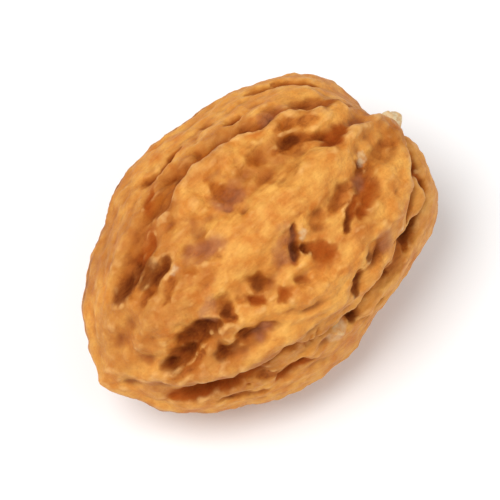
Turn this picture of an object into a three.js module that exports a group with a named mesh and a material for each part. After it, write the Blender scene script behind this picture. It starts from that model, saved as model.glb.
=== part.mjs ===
// A whole walnut in its shell, lying on its side.
//
// The nut has axes of its own: u runs along its length towards the blunt end, where the stalk was, v runs across it
// in the plane of the seam, and w stands on that plane, out of the middle of the front cheek. The nut is shaped in
// those axes, then turned and set down in the part's frame: +X towards the stalk end, +Z up, and the origin under
// the middle of its box. All sizes are in millimetres.

import * as THREE from "three";
import { mergeVertices } from "three/addons/utils/BufferGeometryUtils.js";

// Driving dimensions, from the middle of the nut to its smooth outline.
const STALK_LENGTH = 20.6;
const BEAK_LENGTH = 21.9;
const WIDTH_UP = 14.4; // to the seam on the +v side
const WIDTH_DOWN = 14.6; // to the seam on the -v side
const CHEEK_FRONT = 14.6;
const CHEEK_BACK = 14.2;

// Exponents of the outline: 2 is an ellipse, more is blunter, less is more pointed.
const STALK_FULLNESS = 2.35;
const BEAK_FULLNESS = 1.95;
const SECTION_FULLNESS = 2.1;

// How the nut lies.
const ROLL_DEG = 24; // the seam plane is turned this far about the length
const PITCH_DEG = 5; // the stalk end is lifted this far
const FLAT_SPOT_DEPTH = 0.6; // how much of the lowest bulge is flattened where the nut rests

const MESH_DETAIL = 19; // 20 * (MESH_DETAIL + 1)^2 triangles

// The seam, where the two half shells grew together, is a raised rim that fades out towards both ends.
const RIM = { height: 1.0, halfWidth: 5.2, fullFrom: 9, goneAt: 3 };

// The small nub that the stalk left, and the beak at the other end, each placed off the length by v and w.
const STALK_NUB = { height: 1.2, radius: 2.3, v: 0.8, w: 1.2 };
const BEAK = { height: 1.9, radius: 4.6, v: -0.6, w: 0.3 };

// Broad ridges (height above 0) and hollows (height below 0). Each runs through stations [place along the length,
// angle round the nut in degrees]. The angle is 0 on the +v seam, 90 in the middle of the front cheek, 180 on the
// -v seam and 270 in the middle of the back cheek.
const BROAD_FORMS = [
  // shoulder, dent and swelling of the -v seam
  { height: 0.9, width: 6.0, path: [[16.5, 176], [19.5, 150]] },
  { height: -0.6, width: 5.0, path: [[12, 181], [6, 179]] },
  { height: 0.7, width: 5.0, path: [[-1, 180], [-8, 180]] },
  // shoulder, swelling and dent of the +v seam, and the saddle between the shoulders
  { height: 0.3, width: 5.0, path: [[8, 6], [14, 10]] },
  { height: 0.5, width: 5.0, path: [[-3, 2], [-7, 2]] },
  { height: -0.8, width: 5.0, path: [[-13, 4], [-17, 6]] },
  { height: -1.2, width: 4.6, path: [[19, 22], [19.8, 50]] },
  // front cheek, from the -v seam to the +v seam
  { height: -0.8, width: 2.6, path: [[18.5, 114], [15, 141], [7, 147], [-3, 149], [-9, 149], [-13, 143], [-18, 147]] },
  { height: 0.5, width: 2.6, path: [[0, 127], [-6, 129], [-12, 131], [-17, 131]] },
  { height: 0.7, width: 3.2, path: [[18.5, 93], [16, 109], [12, 117], [8, 117], [2, 119], [-5, 114], [-11, 106]] },
  { height: -0.5, width: 2.6, path: [[15, 84], [10, 91], [4, 96], [-4, 99], [-11, 101], [-17, 102]] },
  { height: 0.7, width: 3.6, path: [[14, 76], [6, 78], [-4, 81], [-16, 80]] },
  { height: -0.7, width: 2.8, path: [[15, 66], [10, 64], [4, 62], [-3, 60], [-8, 63]] },
  { height: 0.6, width: 2.8, path: [[15, 52], [8, 46], [2, 43], [-7, 47]] },
  { height: -0.6, width: 2.6, path: [[13, 42], [5, 38], [-4, 35], [-9, 38], [-16, 44]] },
  // back cheek, from the -v seam to the +v seam
  { height: -0.6, width: 2.8, path: [[16, 222], [6, 217], [-5, 219], [-15, 224]] },
  { height: 0.6, width: 3.6, path: [[15, 244], [4, 241], [-8, 243], [-17, 247]] },
  { height: -0.6, width: 2.6, path: [[13, 262], [3, 265], [-9, 261]] },
  { height: 0.7, width: 3.4, path: [[17, 278], [7, 284], [-4, 282], [-15, 275]] },
  { height: -0.7, width: 2.8, path: [[15, 302], [5, 303], [-6, 299], [-13, 295]] },
  { height: 0.6, width: 3.0, path: [[16, 318], [6, 321], [-7, 318], [-16, 309]] },
  { height: -0.6, width: 2.6, path: [[12, 334], [1, 338], [-12, 334]] },
];

const { clamp, degToRad, euclideanModulo, radToDeg, smoothstep } = THREE.MathUtils;

// 1 at 0, falling smoothly to 0 at 1 and beyond.
function mound(distance) {
  return (1 - Math.min(distance, 1) ** 2) ** 2;
}

// Distance over the shell from a point to a path of stations, where the shell is a given radius from the length.
function distanceToPath(along, angle, radius, path) {
  let nearest = Infinity;
  for (let i = 1; i < path.length; i++) {
    const [startAlong, startAngle] = path[i - 1];
    const [endAlong, endAngle] = path[i];
    const runAngle = endAngle - startAngle;
    const middleTurn = euclideanModulo(startAngle + runAngle / 2 - angle + 180, 360) - 180;
    const start = new THREE.Vector2(startAlong - along, degToRad(middleTurn - runAngle / 2) * radius);
    const run = new THREE.Vector2(endAlong - startAlong, degToRad(runAngle) * radius);
    const share = clamp(-start.dot(run) / run.lengthSq(), 0, 1);
    nearest = Math.min(nearest, start.addScaledVector(run, share).length());
  }
  return nearest;
}

// How far the smooth outline is from the middle of the nut in a direction given as a unit vector of u, v and w.
function outlineRadius(direction) {
  const towardsStalk = direction.x > 0;
  const fullness = towardsStalk ? STALK_FULLNESS : BEAK_FULLNESS;
  const long = Math.abs(direction.x) / (towardsStalk ? STALK_LENGTH : BEAK_LENGTH);
  const across = Math.abs(direction.y) / (direction.y > 0 ? WIDTH_UP : WIDTH_DOWN);
  const thick = Math.abs(direction.z) / (direction.z > 0 ? CHEEK_FRONT : CHEEK_BACK);
  const section = (across ** SECTION_FULLNESS + thick ** SECTION_FULLNESS) ** (1 / SECTION_FULLNESS);
  return (long ** fullness + section ** fullness) ** (-1 / fullness);
}

function rimHeight(point, radius) {
  const swell = 1 + 0.08 * Math.sin(0.35 * point.x + 1.2) + 0.06 * Math.sin(0.8 * point.x);
  return RIM.height * mound(Math.abs(point.z) / RIM.halfWidth) * swell * smoothstep(radius, RIM.goneAt, RIM.fullFrom);
}

function stalkNubHeight(point) {
  const off = Math.hypot(point.y - STALK_NUB.v, point.z - STALK_NUB.w);
  return point.x > 0 ? STALK_NUB.height * mound(off / STALK_NUB.radius) : 0;
}

function beakHeight(point) {
  const off = Math.hypot(point.y - BEAK.v, point.z - BEAK.w);
  return point.x < 0 ? BEAK.height * Math.max(1 - off / BEAK.radius, 0) ** 1.5 : 0;
}

// How far the shell stands out of the smooth outline, or sinks into it, at a point of the outline.
function reliefHeight(point) {
  const radius = Math.hypot(point.y, point.z);
  const angle = radToDeg(Math.atan2(point.z, point.y));
  let relief = rimHeight(point, radius) + stalkNubHeight(point) + beakHeight(point);
  for (const { height, width, path } of BROAD_FORMS) {
    relief += height * mound(distanceToPath(point.x, angle, radius, path) / width);
  }
  return relief;
}

// The closed surface of the nut in its own axes.
function shellGeometry() {
  const sphere = new THREE.IcosahedronGeometry(1, MESH_DETAIL);
  sphere.deleteAttribute("normal");
  sphere.deleteAttribute("uv");
  const geometry = mergeVertices(sphere, 1e-4);
  const position = geometry.getAttribute("position");
  const direction = new THREE.Vector3();
  const point = new THREE.Vector3();
  for (let i = 0; i < position.count; i++) {
    direction.fromBufferAttribute(position, i).normalize();
    point.copy(direction).multiplyScalar(outlineRadius(direction));
    point.addScaledVector(direction, reliefHeight(point));
    position.setXYZ(i, point.x, point.y, point.z);
  }
  return geometry;
}

// Turns the nut as it lies, flattens the spot that it rests on, and puts the origin under the middle of its box.
function layDown(geometry) {
  geometry.rotateX(degToRad(ROLL_DEG));
  geometry.rotateY(-degToRad(PITCH_DEG));
  geometry.computeBoundingBox();
  const middle = geometry.boundingBox.getCenter(new THREE.Vector3());
  const floor = geometry.boundingBox.min.z + FLAT_SPOT_DEPTH;
  geometry.translate(-middle.x, -middle.y, -floor);
  const position = geometry.getAttribute("position");
  for (let i = 0; i < position.count; i++) {
    position.setZ(i, Math.max(position.getZ(i), 0));
  }
  geometry.computeVertexNormals();
  return geometry;
}

const shellMaterial = new THREE.MeshStandardMaterial({ color: 0xd08a43, roughness: 0.6, metalness: 0 });

const shell = new THREE.Mesh(layDown(shellGeometry()), shellMaterial);
shell.name = "walnut_shell";

const walnut = new THREE.Group();
walnut.name = "walnut";
walnut.add(shell);

export default walnut;
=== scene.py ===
"""A whole walnut in its shell, lying on a pale table under soft studio light.

The CAD model gives the nut's size, its broad lobes and its seam rim. This script rounds a copy of it and
cuts the fine relief into the shell: the ridges, furrows and pits of the cheeks, the seam line, the stalk
scar and the beak.
"""

import math
import random

import bmesh
import bpy
import numpy as np
from mathutils import Matrix, Vector, noise


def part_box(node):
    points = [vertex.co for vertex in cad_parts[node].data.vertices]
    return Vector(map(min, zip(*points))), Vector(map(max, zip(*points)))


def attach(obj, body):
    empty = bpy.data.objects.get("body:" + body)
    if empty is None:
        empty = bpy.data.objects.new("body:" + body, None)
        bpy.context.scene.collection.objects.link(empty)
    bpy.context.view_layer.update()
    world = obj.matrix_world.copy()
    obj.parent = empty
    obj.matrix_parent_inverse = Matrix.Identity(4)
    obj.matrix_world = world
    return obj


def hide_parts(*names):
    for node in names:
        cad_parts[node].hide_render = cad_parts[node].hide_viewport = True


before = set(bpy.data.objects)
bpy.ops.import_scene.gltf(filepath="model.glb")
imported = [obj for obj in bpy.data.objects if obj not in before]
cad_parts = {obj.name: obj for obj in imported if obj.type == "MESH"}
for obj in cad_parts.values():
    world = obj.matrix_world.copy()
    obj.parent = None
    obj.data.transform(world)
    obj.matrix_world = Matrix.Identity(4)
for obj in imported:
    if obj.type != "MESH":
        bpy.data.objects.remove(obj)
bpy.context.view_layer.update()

MM = 0.001

# The nut's own axes: u along its length towards the stalk end, v across it in the plane of the seam, w out of
# the middle of the front cheek. They are the part's axes, rolled about the length and then pitched.
ROLL = math.radians(24)
PITCH = math.radians(5)
NUT_AXES = Matrix.Rotation(-PITCH, 3, "Y") @ Matrix.Rotation(ROLL, 3, "X")
NUT_MIDDLE = Vector((1.0, 0.27, 14.47))  # mm, where the length crosses the middle of the seam plane

ROUNDING_LEVELS = 2  # subdivisions of the CAD surface
RELIEF_BLUR = 3  # rounds that soften the relief before it is cut
BACK_PITS = 95
BACK_SEED = 5

# How sunken a vertex lies, seen from further and further off: (rounds of blurring, mm that count as 1).
# The pocket and valley figures darken the colour as painted shade; the edge figure pales the crests, partly
# as painted highlight.
SUNKENNESS = {"edge": (8, -0.10), "pocket_shade": (60, 0.35), "valley": (320, 0.80)}

CAMERA = {"azimuth": -41.5, "elevation": 65, "distance": 0.40, "seen_width": 0.056}  # degrees and metres
# Each softbox: azimuth and elevation in degrees, distance and diameter in metres, power in watts.
SOFTBOXES = {"Key softbox": (-100, 68, 0.60, 0.34, 2.6), "Fill softbox": (35, 40, 0.70, 0.50, 0.8)}
WORLD_LIGHT = 0.58  # how strongly the white surroundings light the nut
WORLD_SEEN = 1.0  # how bright the camera sees them
TABLE_RADIUS = 4.0
TABLE_GLOW = {"From Min": 0.12, "From Max": 0.40, "To Max": 0.48}  # metres from the nut, greatest strength

# Marks on the shell, placed one by one. Each is (depth or height in mm, half width in mm, path), and a path
# runs through stations (place along the length in mm, angle round the nut in degrees). The angle is 0 on the
# +v seam, 90 in the middle of the front cheek, 180 on the -v seam and 270 in the middle of the back cheek.
RIDGES = [
    # edge of the right lobe, from the stalk end towards the beak
    (0.40, 1.0, [(19.6, 88), (18.7, 97), (17.6, 107), (16.4, 114), (14.4, 118), (12, 119),
                 (9.5, 117.5), (7, 118)]),
    (0.35, 0.8, [(3, 118), (0, 118), (-2, 117), (-5, 114), (-8, 110), (-10.5, 107)]),
    (0.30, 1.6, [(5, 121), (1, 125), (-3, 128), (-7, 130)]),
    (0.40, 1.1, [(0.4, 114.5), (-3, 115)]),
    # thin crest that runs from the stalk scar into the middle of the cheek
    (0.85, 0.75, [(19.6, 75), (17, 73.5), (15, 73.5), (13, 73.5), (11.4, 73)]),
    (0.35, 1.0, [(11.4, 74), (8, 73), (5, 72)]),
    (0.65, 1.4, [(18.6, 84), (16.8, 84.5)]),
    # narrow ridge between the two upper furrows, and a crooked branch of it
    (0.60, 0.9, [(13.5, 50), (10.3, 47), (8, 46.5), (5.5, 44), (3.4, 43), (0, 43.5), (-3.5, 44), (-5.5, 46)]),
    (0.35, 0.7, [(2, 46), (0.6, 52), (0.8, 57)]),
    (0.35, 0.7, [(-4.6, 47), (-5, 54), (-4.4, 60)]),
    # small ledge between the two dark ends of the big upper furrow
    (0.35, 0.7, [(10, 63.5), (8.4, 60.5), (6.5, 60.5)]),
    (0.35, 0.6, [(6.2, 55), (5.4, 58), (5.6, 62)]),
    # sharp lip beside the slot in the right lobe
    (0.60, 0.7, [(9.6, 94.5), (9, 96.5), (8, 99.5), (6.6, 102.5)]),
    # island in the furrow of the -v rim, the lumps further down it, and the whitish knob
    (1.30, 1.2, [(16.8, 128), (15.6, 132.5), (14.4, 137)]),
    (0.35, 0.35, [(11.8, 127), (11.6, 128)]),
    (0.60, 1.2, [(7, 133), (5.8, 136)]),
    (0.45, 0.5, [(9, 144), (7.8, 143.5), (6.6, 140)]),
    (0.50, 0.5, [(3.6, 141.5), (2.6, 142.5), (1.4, 141.5), (0, 137.5)]),
    (1.80, 1.15, [(-0.4, 152), (-0.8, 153.5)]),
    (0.80, 1.3, [(-7.4, 150), (-9.4, 151)]),
    (0.65, 1.2, [(-3.2, 154), (-5.2, 155)]),
    # streaks between the furrows near the beak
    (0.40, 0.8, [(-13.8, 112.5), (-16, 119)]),
    (0.45, 0.6, [(-11.6, 52), (-13, 54), (-14.8, 57), (-17, 59)]),
    (0.40, 0.6, [(-10.4, 67), (-12, 69), (-13.8, 72)]),
    (0.35, 0.6, [(-12, 76), (-14, 76)]),
    (0.55, 1.0, [(-3.8, 60), (-5.2, 61.5), (-6, 65)]),
    (0.40, 1.0, [(3, 57.5), (0.4, 56), (-2, 55)]),
]

FURROWS = [
    # the long hollows inside both rims
    (0.70, 1.9, [(17, 50), (13, 43), (8, 40.5), (3, 38)]),
    (0.40, 1.7, [(3, 38), (-4, 32), (-9, 36), (-14, 41)]),
    (0.50, 1.4, [(16, 139), (14, 143), (10, 146), (6, 147)]),
    (0.50, 1.5, [(-10, 147), (-13, 145), (-18, 151)]),
    # inside the +v rim
    (0.80, 1.1, [(12, 41), (10, 40.5), (8, 40), (6, 39.5), (4, 38), (2, 36.5), (0, 34.5), (-4, 32)]),
    (0.90, 0.45, [(10.2, 40.5), (8, 40), (6.2, 40)]),
    (0.75, 0.7, [(-6.2, 25), (-7.2, 27), (-8.4, 31)]),
    (0.55, 0.6, [(-10, 45), (-11, 46.5), (-12.2, 47)]),
    # big upper furrow, from the stalk scar down the cheek
    (0.75, 1.5, [(13.4, 68), (12, 69), (10.4, 69)]),
    (0.80, 1.0, [(11.6, 66), (10, 62), (8.6, 59.5), (7.2, 58), (5.6, 58)]),
    (0.45, 0.45, [(8.2, 63), (7.2, 62.5), (6.2, 60.5)]),
    (0.50, 0.9, [(12, 54), (9.5, 51), (7.5, 50.5)]),
    # valley between the thin crest and the right lobe, with its shallow end
    (0.35, 1.4, [(19, 91), (17, 92.5), (14.5, 92), (12.4, 91)]),
    (0.60, 1.1, [(12.4, 90), (11, 93), (10, 95)]),
    (0.55, 1.1, [(9.8, 94), (8.4, 94), (7.2, 95), (5.8, 96)]),
    # slot in the right lobe
    (0.85, 0.55, [(9.4, 98), (7.5, 102.7), (5.6, 106.5)]),
    # crooked slot in the middle of the cheek
    (1.25, 0.6, [(1.7, 89), (1, 94), (0.2, 98), (-0.6, 101.5)]),
    # furrows near the beak
    (1.25, 1.2, [(-11.6, 102), (-13, 102.5), (-14.6, 105), (-16.4, 109.5), (-17.8, 115)]),
    (0.70, 0.5, [(-13.4, 111.5), (-14.8, 116), (-16.4, 121), (-18, 125)]),
    (0.85, 0.9, [(-10.8, 62), (-12, 63), (-13.4, 64), (-15.5, 67)]),
    (0.80, 0.7, [(-12.6, 49), (-14.6, 52), (-16.6, 53)]),
    (0.75, 2.2, [(-12, 51), (-14.5, 50), (-17, 47)]),
    (0.50, 0.6, [(-11.4, 70), (-12.6, 72), (-14.4, 78)]),
    # inside the -v rim, from the stalk end towards the beak
    (0.70, 0.6, [(20.4, 98), (19.8, 105), (19, 111)]),
    (1.40, 1.0, [(18.9, 113), (18.3, 121), (17.8, 129)]),
    (1.05, 0.6, [(18, 131), (18.2, 138), (17, 144), (15.8, 145)]),
    (0.70, 0.5, [(15.6, 122), (14.7, 126.5), (13.6, 129), (12.6, 132)]),
    (1.70, 1.2, [(15.2, 143.5), (14, 143.5), (12.8, 144.5), (11.8, 149)]),
    (1.15, 0.6, [(8.4, 150), (7.2, 146.5), (6.2, 142)]),
    (1.10, 0.75, [(5, 147.5), (4, 147), (3, 147)]),
    (0.80, 0.35, [(2, 145.5), (1.4, 144), (0.6, 140.5)]),
    (0.75, 0.4, [(-0.2, 141.5), (-1, 142), (-2, 144), (-2.4, 148)]),
    (0.35, 0.3, [(-2.4, 135), (-3.2, 140), (-3.4, 147)]),
    (0.30, 0.3, [(-3.6, 136), (-4.3, 141), (-4.4, 147)]),
    (0.55, 0.5, [(-4.8, 141), (-6.4, 138), (-8.4, 139), (-9.4, 143)]),
    (1.25, 0.75, [(-4.4, 158.5), (-6.2, 157), (-7.6, 158), (-8.8, 161)]),
    (1.40, 1.3, [(-10.8, 143), (-12.2, 144), (-13.6, 147), (-15.9, 151), (-18.5, 157)]),
]

PITS = [
    # along the inner edge of the +v rim
    (0.41, 1.0, [(3.4, 38), (2.8, 38)]),
    (0.80, 1.3, [(0.2, 35), (-1.4, 33.5)]),
    (0.54, 1.4, [(-2.8, 33), (-4.6, 32.5)]),
    (0.37, 1.3, [(-6.4, 39), (-8, 42)]),
    # upper middle of the cheek
    (0.35, 1.0, [(12.6, 68.5), (11.2, 69)]),
    (0.38, 1.3, [(5, 51.5), (2.6, 54.5)]),
    (0.25, 1.2, [(6.6, 69), (5, 71.5), (3.4, 72.5)]),
    (0.22, 1.3, [(4.2, 65), (2.4, 65.5)]),
    (0.62, 1.8, [(0, 62.5), (-1.5, 60.7), (-3, 59)]),
    (0.52, 1.6, [(-6, 74), (-7, 73.5), (-8.2, 72)]),
    (0.30, 1.0, [(-8.2, 65), (-9.2, 65)]),
    (0.27, 0.9, [(-9.4, 72), (-10.4, 73)]),
    # valley by the right lobe
    (0.41, 0.8, [(12.6, 88), (12, 89.5)]),
    (0.37, 0.7, [(10.4, 92.5), (9.8, 93.5)]),
    (0.65, 1.7, [(13, 95), (11, 100), (9.4, 103)]),
    (0.65, 1.1, [(9.2, 104), (8.4, 106)]),
    (0.24, 1.4, [(5, 96), (3.4, 92)]),
    # middle of the cheek
    (0.30, 1.5, [(0.6, 90), (-0.8, 94.5), (-1.3, 97)]),
    (0.58, 1.8, [(1.6, 102), (2.5, 107), (3.4, 108)]),
    (0.80, 0.8, [(0.8, 100), (1.1, 101.5)]),
    (0.45, 1.2, [(-0.6, 109.5), (-1.6, 111)]),
    (0.52, 1.1, [(-4.4, 97), (-5, 99), (-5.6, 101)]),
    (0.41, 1.3, [(-3.2, 109.5), (-4.6, 110.5)]),
    (0.75, 1.0, [(-6.2, 103.5), (-6.9, 105)]),
    (0.42, 1.3, [(-8.6, 96), (-10.2, 98)]),
    (0.95, 1.1, [(-9.3, 101), (-10.5, 103)]),
    (0.27, 0.9, [(-7.6, 99), (-8, 101)]),
    # lower middle of the cheek
    (0.75, 1.4, [(-7.2, 119), (-9, 118.5), (-10.4, 116.5)]),
    (1.00, 1.1, [(-11.8, 119.5), (-12.8, 121)]),
    (0.70, 0.5, [(-17, 112), (-17.4, 114)]),
    # by the -v rim
    (0.54, 1.6, [(9.2, 121.5), (8, 126), (9, 130)]),
    (0.41, 0.8, [(6.8, 123), (6.4, 124.5)]),
    (0.60, 0.35, [(10.8, 132), (10.7, 132.5)]),
    (0.70, 0.4, [(11.4, 135.5), (11.2, 136.5)]),
    (0.65, 0.9, [(4.4, 125), (3.7, 129), (3, 134.5)]),
    (0.48, 1.0, [(5.6, 145), (5, 148)]),
    (1.20, 1.0, [(2.6, 150), (2, 154)]),
    (0.31, 0.9, [(-5.4, 140), (-6, 141.5)]),
    (0.80, 0.4, [(-11.3, 154), (-11.6, 155)]),
]

# Smooth places of the shell, with few lumps: (half width in mm, path).
SMOOTH_PLACES = [
    (3.4, [(9, 79), (-4, 81), (-14, 83)]),
    (2.6, [(18, 96), (13, 108), (7, 112), (1, 117)]),
    (5.0, [(17, 16), (6, 14), (-6, 10), (-17, 10)]),
    (2.8, [(20, 140), (15, 164), (4, 170), (-6, 172), (-16, 168)]),
]

# Patches with a colour of their own, also placed one by one: (half width in mm, path).
# The umber and dark patches are partly painted shadow and shade.
MAUVE_FLOORS = [
    (1.4, [(0.4, 90), (-0.8, 94.5), (-1.2, 97)]),
    (1.0, [(-7.6, 120.5), (-8.4, 121.5)]),
    (1.4, [(-6.2, 73), (-8.4, 70)]),
    (1.5, [(-0.6, 61), (-2.4, 60.5)]),
    (1.0, [(11, 93.5), (10.6, 94.5)]),
    (1.1, [(9.2, 121.5), (9.4, 130)]),
    (0.9, [(-10.6, 92), (-11.6, 97)]),
    (0.8, [(10.4, 37), (8, 37)]),
]

RUSSET_FLOORS = [
    (2.0, [(2.5, 107), (3.2, 108)]),
    (1.2, [(-3.2, 109.5), (-6.9, 105)]),
    (1.5, [(11.2, 101), (9, 103)]),
    (1.0, [(-6.2, 25), (-8.4, 31)]),
    (1.4, [(18.9, 113), (18, 128)]),
    (1.0, [(-5, 158), (-8.8, 161)]),
    (1.8, [(-11, 143), (-13.6, 147), (-18, 156)]),
    (1.2, [(-10, 45), (-12.2, 47)]),
    (1.2, [(13.4, 68.5), (11, 69)]),
]

# Umber patches: a darker stain of the shell. The two by the beak, at 5 to 8 and 45 to 70 degrees, are also
# painted cast shadow.
UMBER_AND_SHADOW_PATCHES = [
    (1.9, [(16, 139), (14, 143), (10, 146)]),
    (5.0, [(-12, 45), (-14, 58), (-18, 70)]),
    (3.0, [(-9, 5), (-16, 8)]),
    (3.0, [(1, 36), (-8, 33), (-13, 30)]),
    (2.2, [(5, 34), (-8, 30), (-14, 26)]),
    (3.0, [(19, 60), (17, 80)]),
    (2.2, [(-11, 151), (-18, 150)]),
    (3.0, [(-10, 140), (-14, 136), (-18, 140)]),
    (3.6, [(-11.5, 77), (-15, 73)]),
    (2.0, [(-1.6, 138), (-6, 141)]),
    (1.4, [(9.4, 108), (7, 113)]),
    (1.8, [(-7, 44), (-10, 48)]),
    (1.6, [(-11, 108), (-12.5, 112)]),
    (2.0, [(-12, 122), (-17, 118)]),
    (2.0, [(8, 58), (1, 60)]),
]

# Dark spots in the deepest hollows: their dark skin, deepened with painted shade.
DARK_AND_SHADE_SPOTS = [
    (0.4, [(10, 40.8), (6.4, 40)]),
    (0.9, [(12.6, 68.5), (10.8, 69)]),
    (0.55, [(8.8, 58.5), (7, 57.5)]),
    (1.4, [(-13.6, 51), (-16.5, 49)]),
    (0.9, [(-12.4, 57), (-14.5, 61)]),
    (0.8, [(-11, 62), (-13, 64)]),
    (0.7, [(-3.6, 35), (-4.4, 35)]),
    (0.6, [(2.2, 41), (1.4, 41)]),
    (0.5, [(12.3, 89.5), (12.1, 90)]),
    (0.6, [(10.6, 94), (9.8, 96)]),
    (0.5, [(8.6, 100), (6.2, 105.5)]),
    (0.5, [(1.3, 91), (0.2, 97), (-0.3, 100)]),
    (0.7, [(0.8, 100), (1.2, 101.5)]),
    (0.5, [(-5, 99), (-5.3, 100)]),
    (0.6, [(-9.4, 99), (-10.3, 101)]),
    (1.1, [(-11.8, 102), (-14.6, 105), (-17.5, 114)]),
    (0.9, [(-11.8, 119.5), (-12.8, 121)]),
    (0.8, [(-8.6, 118), (-9.6, 117)]),
    (0.7, [(18.6, 117), (18, 126)]),
    (1.0, [(14.6, 143), (12.4, 146)]),
    (0.5, [(11.3, 135), (11.1, 137)]),
    (0.6, [(6.7, 123), (6.4, 125)]),
    (0.7, [(3.8, 129), (3, 134)]),
    (0.7, [(2.6, 150), (2, 154)]),
    (0.5, [(7.6, 147), (6.6, 143.5)]),
    (1.2, [(-12.5, 145), (-13.6, 147), (-17, 154)]),
]

# Pale specks: the lumps at 127 and 152 degrees and a fibre at 87 degrees are pale in the shell; those at 94
# and 68 degrees are painted highlights.
PALE_SPECKS_AND_HIGHLIGHTS = [
    (0.55, [(13.2, 87), (12.8, 88)]),
    (0.4, [(2.2, 94), (1.8, 96)]),
    (0.35, [(11.8, 127), (11.6, 128)]),
    (1.2, [(-0.4, 152), (-0.8, 153.5)]),
    (0.4, [(-10.8, 68), (-11.4, 69)]),
]

PATCHES = {"mauve": MAUVE_FLOORS, "russet": RUSSET_FLOORS, "umber_and_shadow": UMBER_AND_SHADOW_PATCHES, "dark": DARK_AND_SHADE_SPOTS}

# The pale stump of the stalk: how far it lies off the length, and its radius, in mm.
NUB = {"v": 0.8, "w": 1.2, "radius": 1.35}


# --- the shell's relief -----------------------------------------------------------------------------------


def smoothstep(low, high, x):
    """0 below low, 1 above high, and a smooth rise between them."""
    t = np.clip((x - low) / (high - low), 0, 1)
    return t * t * (3 - 2 * t)


def mound(x):
    """1 at 0, falling smoothly to 0 at 1 and beyond."""
    return (1 - np.clip(np.abs(x), 0, 1) ** 2) ** 2


def noise_field(points, wavelength, seed, stretch=1.0):
    """Smooth seeded noise, about -1 to 1, at points in mm. stretch lengthens its features along the nut."""
    scaled = points / (wavelength * np.array((stretch, 1.0, 1.0))) + seed * 17.3
    return np.array([noise.noise(Vector(p)) for p in scaled])


def cell_edges(points, wavelength, seed, stretch):
    """Distance to the borders of irregular cells: 0 on a border, towards 1 inside a cell."""
    scaled = points / (wavelength * np.array((stretch, 1.0, 1.0))) + seed * 11.9
    gaps = []
    for p in scaled:
        nearest = noise.voronoi(Vector(p))[0]
        gaps.append(nearest[1] - nearest[0])
    return np.array(gaps)


class Shell:
    """The shell's vertices in the nut's own axes, with the station of each."""

    def __init__(self, points):
        self.points = points
        self.radius = np.hypot(points[:, 1], points[:, 2])
        self.angle = np.degrees(np.arctan2(points[:, 2], points[:, 1])) % 360
        self.along = points[:, 0]
        sway = 0.45 * noise_field(points, 2.4, 1) + 0.28 * noise_field(points, 1.0, 2)
        drift = 0.45 * noise_field(points, 2.4, 3) + 0.28 * noise_field(points, 1.0, 4)
        self.wavy_along = self.along + sway
        self.wavy_angle = self.angle + np.degrees(drift / np.maximum(self.radius, 2.0))
        self.spread = 1 + 0.45 * noise_field(points, 1.5, 12) + 0.20 * noise_field(points, 0.7, 13)

    def distance_to(self, path):
        """Distance over the shell in mm to a path, and the nearest place on it from 0 to 1."""
        nearest = np.full(len(self.along), np.inf)
        place = np.zeros(len(self.along))
        for i, (start, end) in enumerate(zip(path, path[1:])):
            run_along = end[0] - start[0]
            run_angle = end[1] - start[1]
            turn = (start[1] + run_angle / 2 - self.wavy_angle + 180) % 360 - 180 - run_angle / 2
            x = start[0] - self.wavy_along
            y = np.radians(turn) * self.radius
            run_over = math.radians(run_angle) * self.radius
            share = np.clip(-(x * run_along + y * run_over) / (run_along**2 + run_over**2), 0, 1)
            distance = np.hypot(x + share * run_along, y + share * run_over)
            closer = distance < nearest
            nearest = np.where(closer, distance, nearest)
            place = np.where(closer, (i + share) / (len(path) - 1), place)
        return nearest, place


def raised(shell, marks):
    """Height of rounded ridges that thin out towards their ends."""
    total = np.zeros(len(shell.along))
    for height, half_width, path in marks:
        distance, place = shell.distance_to(path)
        taper = 1 - 0.6 * np.abs(2 * place - 1) ** 3
        total += height * taper * mound(distance / (half_width * 1.5))
    return total


def sunk(shell, marks, wall):
    """Depth and stain of furrows or pits. wall is the share of the half width where the walls begin."""
    deepest = np.zeros(len(shell.along))
    stain = np.zeros(len(shell.along))
    for depth, half_width, path in marks:
        distance, place = shell.distance_to(path)
        taper = 1 - 0.5 * np.abs(2 * place - 1) ** 3
        x = distance / (half_width * taper * shell.spread)
        core = 0.78 * (1 - smoothstep(wall, 1.35, x))
        skirt = 0.22 * (1 - smoothstep(0.5, 2.5, x))
        cut = depth * taper * (core + skirt)
        deepest = (deepest**4 + cut**4) ** 0.25
        tint = 0.85 * (1 - smoothstep(0.3, 1.3, x)) + 0.15 * (1 - smoothstep(0.8, 2.3, x))
        stain = np.maximum(stain, tint * min(1.0, 0.4 + 0.6 * depth))
    return deepest, stain


def tinted(shell, tints):
    """How strongly the patches of a list colour the shell, from 0 to 1."""
    strength = np.zeros(len(shell.along))
    for half_width, path in tints:
        distance, _ = shell.distance_to(path)
        strength = np.maximum(strength, 1 - smoothstep(0.5, 1.2, distance / half_width))
    return strength


def scattered_pits(count, seed):
    """Random pits of the back cheek and the underside, which lie lengthwise and keep off the seam rim."""
    rng = random.Random(seed)
    marks = []
    while len(marks) < count:
        along = rng.uniform(-19, 18)
        angle = rng.uniform(-26, 206) + 180
        off_rim = abs((angle + 90) % 180 - 90)
        length = rng.uniform(1.2, 5.0)
        half_width = rng.uniform(0.45, 1.3)
        depth = rng.uniform(0.25, 0.8)
        bend = rng.uniform(-7, 7)
        if off_rim < 14 or (off_rim < 22 and half_width > 0.8):
            continue
        marks.append((depth, half_width, [(along, angle), (along - length, angle + bend)]))
    return marks


def seam_relief(shell):
    """The two lips of the seam stand up a little, with a hairline between them."""
    wobble = 0.25 * noise_field(shell.points, 5.0, 21) + 0.08 * noise_field(shell.points, 0.9, 22)
    off_seam = np.abs(shell.points[:, 2] + wobble)
    fade = smoothstep(1.0, 4.0, shell.radius)
    lips = 0.30 * np.exp(-((off_seam / 0.9) ** 2))
    hairline = 0.34 * np.exp(-((off_seam / 0.2) ** 2))
    return (lips - hairline) * fade


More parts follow.
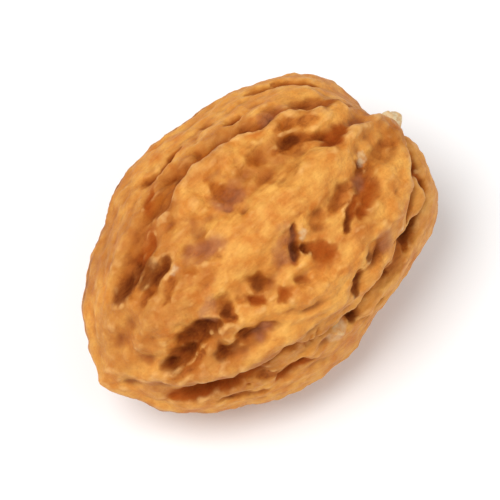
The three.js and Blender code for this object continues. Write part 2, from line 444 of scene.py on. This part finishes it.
def end_relief(shell):
    """The ragged stump of the stalk with a dip round it, and the pinched point of the beak."""
    u, v, w = shell.points.T
    off_nub = np.hypot((v - NUB["v"]) * 0.75, w - NUB["w"]) + 0.35 * noise_field(shell.points, 0.8, 31)
    torn = 1 + 1.6 * noise_field(shell.points, 0.7, 33)
    stump = 0.75 * (1 - smoothstep(0.6, 1.0, off_nub / NUB["radius"])) * torn
    dip = -0.3 * mound((off_nub - 2.1) / 1.0)
    ragged = 0.6 * noise_field(shell.points, 0.5, 32) * (off_nub < NUB["radius"])
    beak = 0.5 * mound(w / 1.6) * smoothstep(17, 21.5, -u)
    return np.where(u > 0, stump + dip + ragged, beak)


def shell_relief(shell):
    """What stands out of the rounded CAD shape or is cut into it, in mm, and how stained its hollows are."""
    # front is 1 on the front cheek, and off_rim is 0 on the seam rim
    front = smoothstep(14, 30, shell.angle) * (1 - smoothstep(158, 172, shell.angle))
    off_rim = smoothstep(12, 30, np.abs((shell.angle + 90) % 180 - 90))
    smooth = tinted(shell, SMOOTH_PLACES)
    back_pits, back_stain = sunk(shell, scattered_pits(BACK_PITS, BACK_SEED), 0.2)
    front_pits, front_stain = sunk(shell, PITS, 0.2)
    furrows, furrow_stain = sunk(shell, FURROWS, 0.1)
    rough_floor = 1 + 0.6 * noise_field(shell.points, 1.5, 41, 1.5)
    rough_floor += 0.4 * noise_field(shell.points, 0.7, 42, 1.8)
    hollows = (back_pits**3 + front_pits**3 + furrows**3) ** (1 / 3) * rough_floor
    stain = np.maximum(np.maximum(back_stain, front_stain), furrow_stain)

    borders = 1 - smoothstep(0.0, 0.30, cell_edges(shell.points + 0.8, 3.4, 5, 2.3))
    network = borders * (0.12 + 0.40 * (1 - front)) * (0.25 + 0.75 * off_rim)
    lumps = 0.80 * noise_field(shell.points, 2.3, 6, 2.4) + 0.30 * noise_field(shell.points, 1.3, 7, 1.8)
    wrinkles = 0.20 * noise_field(shell.points, 0.9, 8, 2.0)
    wrinkles += 0.16 * noise_field(shell.points, 0.45, 9, 2.0)
    folds = np.abs(noise_field(shell.points, 2.6, 10, 2.2))
    lumps += 0.20 * (1 - smoothstep(0.0, 0.28, folds))
    lumps *= (0.2 + 0.8 * off_rim) * (1 - 0.75 * smooth) * (1 - 0.25 * front)
    hollows = hollows + network * 0.8 + 0.6 * np.maximum(-lumps, 0)
    stretched = shell.points * (0.15, 1, 1)
    striations = 0.16 * noise_field(stretched, 0.8, 11) * (0.3 + 0.7 * smooth)
    relief = raised(shell, RIDGES) + striations + lumps + wrinkles - hollows
    relief = relief + seam_relief(shell) + end_relief(shell)
    return relief, 0.6 * stain + 0.45 * hollows


# --- building the mesh ------------------------------------------------------------------------------------


def rounded_copy(node, name):
    """A copy of a CAD node, merged and rounded by subdivision, as an object of its own."""
    bm = bmesh.new()
    bm.from_mesh(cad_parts[node].data)
    bmesh.ops.remove_doubles(bm, verts=bm.verts, dist=0.001 * MM)
    cage = bpy.data.meshes.new(name)
    bm.to_mesh(cage)
    bm.free()
    piece = bpy.data.objects.new(name, cage)
    bpy.context.scene.collection.objects.link(piece)
    rounding = piece.modifiers.new("Rounding", "SUBSURF")
    rounding.levels = ROUNDING_LEVELS
    rounding.render_levels = ROUNDING_LEVELS
    rounded = piece.evaluated_get(bpy.context.evaluated_depsgraph_get())
    piece.data = bpy.data.meshes.new_from_object(rounded)
    piece.modifiers.clear()
    return piece


def numbers(items, name, width):
    """One property of a list of mesh items as a numpy array with this many columns."""
    found = np.empty(len(items) * width, np.float64)
    items.foreach_get(name, found)
    return found.reshape(-1, width)


def neighbour_mean(mesh):
    """A function that replaces each vertex's value by the mean of its neighbours' values."""
    ends = np.empty(len(mesh.edges) * 2, np.int64)
    mesh.edges.foreach_get("vertices", ends)
    first, second = ends.reshape(-1, 2).T
    here = np.concatenate((first, second))
    there = np.concatenate((second, first))
    count = np.bincount(here, minlength=len(mesh.vertices))

    def mean(values):
        return np.bincount(here, values[there], minlength=len(count)) / count

    return mean


def blurred(values, mean, rounds):
    for _ in range(rounds):
        values = 0.5 * values + 0.5 * mean(values)
    return values


def store(mesh, name, values):
    layer = mesh.attributes.new(name, "FLOAT", "POINT")
    layer.data.foreach_set("value", np.ascontiguousarray(values, np.float32))


def sunkenness(places, normals, mean, rounds):
    """How far each vertex lies below its smoothed surroundings, in mm, less the average over the piece."""
    around = np.stack([blurred(column, mean, rounds) for column in places.T], axis=1)
    below = ((around - places) * normals).sum(axis=1)
    return below - below.mean()


def sculpt(piece):
    """Cuts the relief into the rounded shell, and stores what the material needs to know about it."""
    mesh = piece.data
    mean = neighbour_mean(mesh)
    places = numbers(mesh.vertices, "co", 3) / MM
    normals = numbers(mesh.vertices, "normal", 3)
    turn = np.array(NUT_AXES)
    shell = Shell((places - np.array(NUT_MIDDLE)) @ turn)

    relief, stain = shell_relief(shell)
    relief = blurred(relief, mean, RELIEF_BLUR)
    places = places + normals * relief[:, None]
    places[:, 2] = np.maximum(places[:, 2], 0)
    mesh.vertices.foreach_set("co", (places * MM).ravel())
    mesh.update()

    normals = numbers(mesh.vertices, "normal", 3)
    store(mesh, "stain", np.clip(stain, 0, 1))
    for name, (rounds, full) in SUNKENNESS.items():
        store(mesh, name, sunkenness(places, normals, mean, rounds) / full)
    off_nub = np.hypot(shell.points[:, 1] - NUB["v"], shell.points[:, 2] - NUB["w"])
    stump = (shell.along > 0) * (1 - smoothstep(0.8, 1.25, off_nub / NUB["radius"]))
    store(mesh, "pale", np.maximum(stump, 0.45 * tinted(shell, PALE_SPECKS_AND_HIGHLIGHTS)))
    for name, patches in PATCHES.items():
        store(mesh, name, tinted(shell, patches))
    store(mesh, "seam", np.exp(-((shell.points[:, 2] / 0.35) ** 2)) * smoothstep(1, 4, shell.radius))
    mesh.shade_smooth()


# --- materials --------------------------------------------------------------------------------------------


def colour(hex_code):
    """A linear colour with alpha from an sRGB hex code."""
    channels = [int(hex_code[i : i + 2], 16) / 255 for i in (1, 3, 5)]
    linear = [c / 12.92 if c <= 0.04045 else ((c + 0.055) / 1.055) ** 2.4 for c in channels]
    return (*linear, 1.0)


def add(tree, kind, values=None, links=None, **settings):
    """Adds a node with its settings, socket values and links (socket: source socket)."""
    node = tree.nodes.new(kind)
    for name, value in settings.items():
        setattr(node, name, value)
    for socket, value in (values or {}).items():
        node.inputs[socket].default_value = value
    for socket, source in (links or {}).items():
        tree.links.new(source, node.inputs[socket])
    return node


# The sockets of a Mix node that mixes colours.
FACTOR, UNDER, OVER, RESULT = 0, 6, 7, 2


def nutshell_material():
    """Lignified walnut shell, dry and brushed clean: golden tan plateaus, red-brown hollows with painted
    shade, matt.
    """
    material = bpy.data.materials.new("Lignified walnut shell")
    material.use_nodes = True
    tree = material.node_tree
    tree.nodes.clear()

    place = add(tree, "ShaderNodeTexCoord").outputs["Object"]
    drawn_out = []
    for squeeze in (0.25, 0.45):
        values = {"Rotation": (0, PITCH, 0), "Scale": (squeeze, 1, 1)}
        drawn_out.append(add(tree, "ShaderNodeMapping", values, {"Vector": place}).outputs["Vector"])
    along_nut, streaky = drawn_out

    # patterns of noise: where each is read, its size in mm, its detail and its roughness. The fibres are
    # drawn coarser than real ones, so that they show.
    patterns = {
        "patches": (place, 8.0, 3.0, 0.5),
        "mottling": (place, 1.6, 4.0, 0.5),
        "streaks": (streaky, 1.5, 5.0, 0.6),
        "blotches": (place, 2.2, 4.0, 0.5),
        "flecks": (streaky, 0.6, 4.0, 0.6),
        "scuffs_and_highlights": (place, 1.1, 3.0, 0.5),
        "fibres": (along_nut, 0.3, 2.0, 0.5),
        "crumbs": (place, 0.6, 3.0, 0.5),
        "grain": (place, 0.5, 4.0, 0.65),
    }
    sources = {}
    for name, (vector, size, detail, roughness) in patterns.items():
        values = {"Scale": 1 / MM / size, "Detail": detail, "Roughness": roughness}
        sources[name] = add(tree, "ShaderNodeTexNoise", values, {"Vector": vector}).outputs["Fac"]
    for name in ("stain", "pale", "seam", *SUNKENNESS, *PATCHES):
        sources[name] = add(tree, "ShaderNodeAttribute", attribute_name=name).outputs["Fac"]

    def cover(*masks):
        """The product of masks, each (source, from, to, cover at from, cover at to)."""
        product = None
        for source, low, high, at_low, at_high in masks:
            span = {"From Min": low, "From Max": high, "To Min": at_low, "To Max": at_high}
            mask = add(tree, "ShaderNodeMapRange", span, {"Value": sources[source]}).outputs["Result"]
            if product is not None:
                both = {0: product, 1: mask}
                mask = add(tree, "ShaderNodeMath", links=both, operation="MULTIPLY").outputs["Value"]
            product = mask
        return product

    ground = {UNDER: colour("#D88E38"), OVER: colour("#C97423")}
    mask = {FACTOR: cover(("patches", 0.35, 0.65, 0, 1))}
    body = add(tree, "ShaderNodeMix", ground, mask, data_type="RGBA").outputs[RESULT]
    browns = {UNDER: colour("#9C4C12"), OVER: colour("#AC6029")}
    mask = {FACTOR: cover(("blotches", 0.4, 0.62, 0, 1))}
    floor = add(tree, "ShaderNodeMix", browns, mask, data_type="RGBA").outputs[RESULT]

    # coats of colour over the ground, from the lowest up, each with its masks
    coats = [
        # plateaus: golden tan with fine mottling and darker streaks
        ("#E6A74E", ("mottling", 0.35, 0.7, 0, 1)),
        ("#B4641C", ("streaks", 0.5, 0.68, 0, 0.5)),
        # hollows: red-brown skin that brushing and bleaching didn't reach, with painted shade where they are
        # sunken
        # umber patches: a darker stain, and by the beak a painted cast shadow
        ("#A55C1A", ("umber_and_shadow", 0, 1, 0, 1), ("blotches", 0.3, 0.65, 0.25, 0.7)),
        # painted shade: broad valleys darker the more sunken they lie
        ("#A55A18", ("valley", 0, 1, 0, 0.75)),
        (floor, ("stain", 0.12, 0.85, 0, 1)),
        # painted shade in the pockets
        ("#7A340A", ("pocket_shade", 0.2, 1.0, 0, 0.7)),
        ("#7C3A12", ("stain", 0.2, 0.7, 0, 1), ("flecks", 0.48, 0.62, 0, 0.6)),
        # painted shade at the bottom of the deepest hollows, over their stain
        ("#521C04", ("stain", 0.6, 1.0, 0, 1), ("pocket_shade", 0.5, 1.2, 0, 1)),
        # dark spots: painted shade over the dark skin of the deepest hollows
        ("#5C2408", ("dark", 0, 1, 0, 0.65)),
        ("#A04610", ("russet", 0, 1, 0, 1), ("stain", 0.1, 0.6, 0.2, 0.6)),
        ("#AC6E4C", ("mauve", 0, 1, 0, 1), ("blotches", 0.35, 0.6, 0.1, 0.6)),
        # crests: paler where handling has scuffed them, and a painted highlight along their sharp edges
        ("#EEB76E", ("edge", 0.3, 1, 0, 1), ("scuffs_and_highlights", 0.35, 0.6, 0.1, 0.6), ("stain", 0.3, 0.8, 1, 0.15)),
        # fine fibres along the nut, the hairline of the seam, and the bare stump of the stalk with pale
        # specks, two of them painted highlights
        ("#A85F20", ("fibres", 0.35, 0.7, 0, 0.22)),
        ("#7A3C17", ("seam", 0, 1, 0, 1), ("blotches", 0.3, 0.6, 0.2, 0.6)),
        ("#E4D0A6", ("pale", 0, 1, 0, 1), ("crumbs", 0.35, 0.6, 0.3, 0.95)),
    ]
    for paint, *masks in coats:
        coat = add(tree, "ShaderNodeMix", None, {FACTOR: cover(*masks), UNDER: body}, data_type="RGBA")
        if paint is floor:
            tree.links.new(floor, coat.inputs[OVER])
        else:
            coat.inputs[OVER].default_value = colour(paint)
        body = coat.outputs[RESULT]

    rough = {"Strength": 0.6, "Distance": 0.30 * MM}
    grain = add(tree, "ShaderNodeBump", rough, {"Height": sources["grain"]}).outputs["Normal"]
    fine = {"Strength": 0.5, "Distance": 0.10 * MM}
    over_grain = {"Height": sources["fibres"], "Normal": grain}
    ribbed = add(tree, "ShaderNodeBump", fine, over_grain).outputs["Normal"]
    finish = {
        "Base Color": body,
        "Roughness": cover(("stain", 0, 1, 0.55, 0.8)),
        "Specular IOR Level": cover(("stain", 0, 0.6, 0.24, 0.05)),
        "Normal": ribbed,
    }
    skin = add(tree, "ShaderNodeBsdfPrincipled", {"IOR": 1.5}, finish)
    add(tree, "ShaderNodeOutputMaterial", links={"Surface": skin.outputs["BSDF"]})
    return material


def table_material():
    """Matt white laminate. Away from the nut it glows a little, and so runs into the white surroundings."""
    material = bpy.data.materials.new("Matt white laminate")
    material.use_nodes = True
    tree = material.node_tree
    skin = tree.nodes["Principled BSDF"]
    skin.inputs["Base Color"].default_value = colour("#F7F7F7")
    skin.inputs["Roughness"].default_value = 0.8
    skin.inputs["Emission Color"].default_value = colour("#FFFFFF")
    place = add(tree, "ShaderNodeTexCoord").outputs["Object"]
    away = add(tree, "ShaderNodeVectorMath", links={0: place}, operation="LENGTH").outputs["Value"]
    glow = add(tree, "ShaderNodeMapRange", TABLE_GLOW, {"Value": away})
    tree.links.new(glow.outputs["Result"], skin.inputs["Emission Strength"])
    return material


# --- scene ------------------------------------------------------------------------------------------------


def lay_table():
    bm = bmesh.new()
    bmesh.ops.create_circle(bm, cap_ends=True, segments=96, radius=TABLE_RADIUS)
    mesh = bpy.data.meshes.new("Table")
    bm.to_mesh(mesh)
    bm.free()
    mesh.materials.append(table_material())
    table = bpy.data.objects.new("Table", mesh)
    bpy.context.scene.collection.objects.link(table)


def aimed(name, data, place, target):
    thing = bpy.data.objects.new(name, data)
    bpy.context.scene.collection.objects.link(thing)
    thing.location = place
    thing.rotation_euler = (target - place).to_track_quat("-Z", "Y").to_euler()
    return thing


def direction(azimuth, elevation):
    """From the nut towards a place seen at this azimuth (0 is in front, -Y) and elevation, in degrees."""
    a = math.radians(azimuth)
    e = math.radians(elevation)
    return Vector((math.sin(a) * math.cos(e), -math.cos(a) * math.cos(e), math.sin(e)))


def softbox(name, azimuth, elevation, distance, size, power, target):
    data = bpy.data.lights.new(name, "AREA")
    data.shape = "DISK"
    data.size = size
    data.energy = power
    aimed(name, data, target + direction(azimuth, elevation) * distance, target)


def set_camera(target):
    """A long lens that looks down on the front cheek, with the nut's length rising to the right."""
    distance = CAMERA["distance"]
    data = bpy.data.cameras.new("Camera")
    data.sensor_width = 36
    data.lens = data.sensor_width * distance / CAMERA["seen_width"]
    data.clip_start = 0.01
    data.clip_end = 20
    towards = direction(CAMERA["azimuth"], CAMERA["elevation"])
    camera = aimed("Camera", data, target + towards * distance, target)
    bpy.context.scene.camera = camera


def set_light(target):
    """Two softboxes in white surroundings, which are brighter to the camera than the light that they give."""
    for name, settings in SOFTBOXES.items():
        softbox(name, *settings, target)
    world = bpy.data.worlds.new("Studio")
    world.use_nodes = True
    tree = world.node_tree
    seen = add(tree, "ShaderNodeLightPath").outputs["Is Camera Ray"]
    levels = {"To Min": WORLD_LIGHT, "To Max": WORLD_SEEN}
    strength = add(tree, "ShaderNodeMapRange", levels, {"Value": seen}).outputs["Result"]
    tree.nodes["Background"].inputs["Color"].default_value = colour("#FFFFFF")
    tree.links.new(strength, tree.nodes["Background"].inputs["Strength"])
    bpy.context.scene.world = world
    bpy.context.scene.view_settings.view_transform = "Standard"


low, high = (Vector(corner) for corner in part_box("walnut_shell"))
middle = (low + high) / 2

set_camera(middle)
set_light(middle)
lay_table()

shell_piece = rounded_copy("walnut_shell", "walnut_shell_carved")
sculpt(shell_piece)
shell_piece.data.materials.clear()
shell_piece.data.materials.append(nutshell_material())
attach(shell_piece, "root")
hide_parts("walnut_shell")
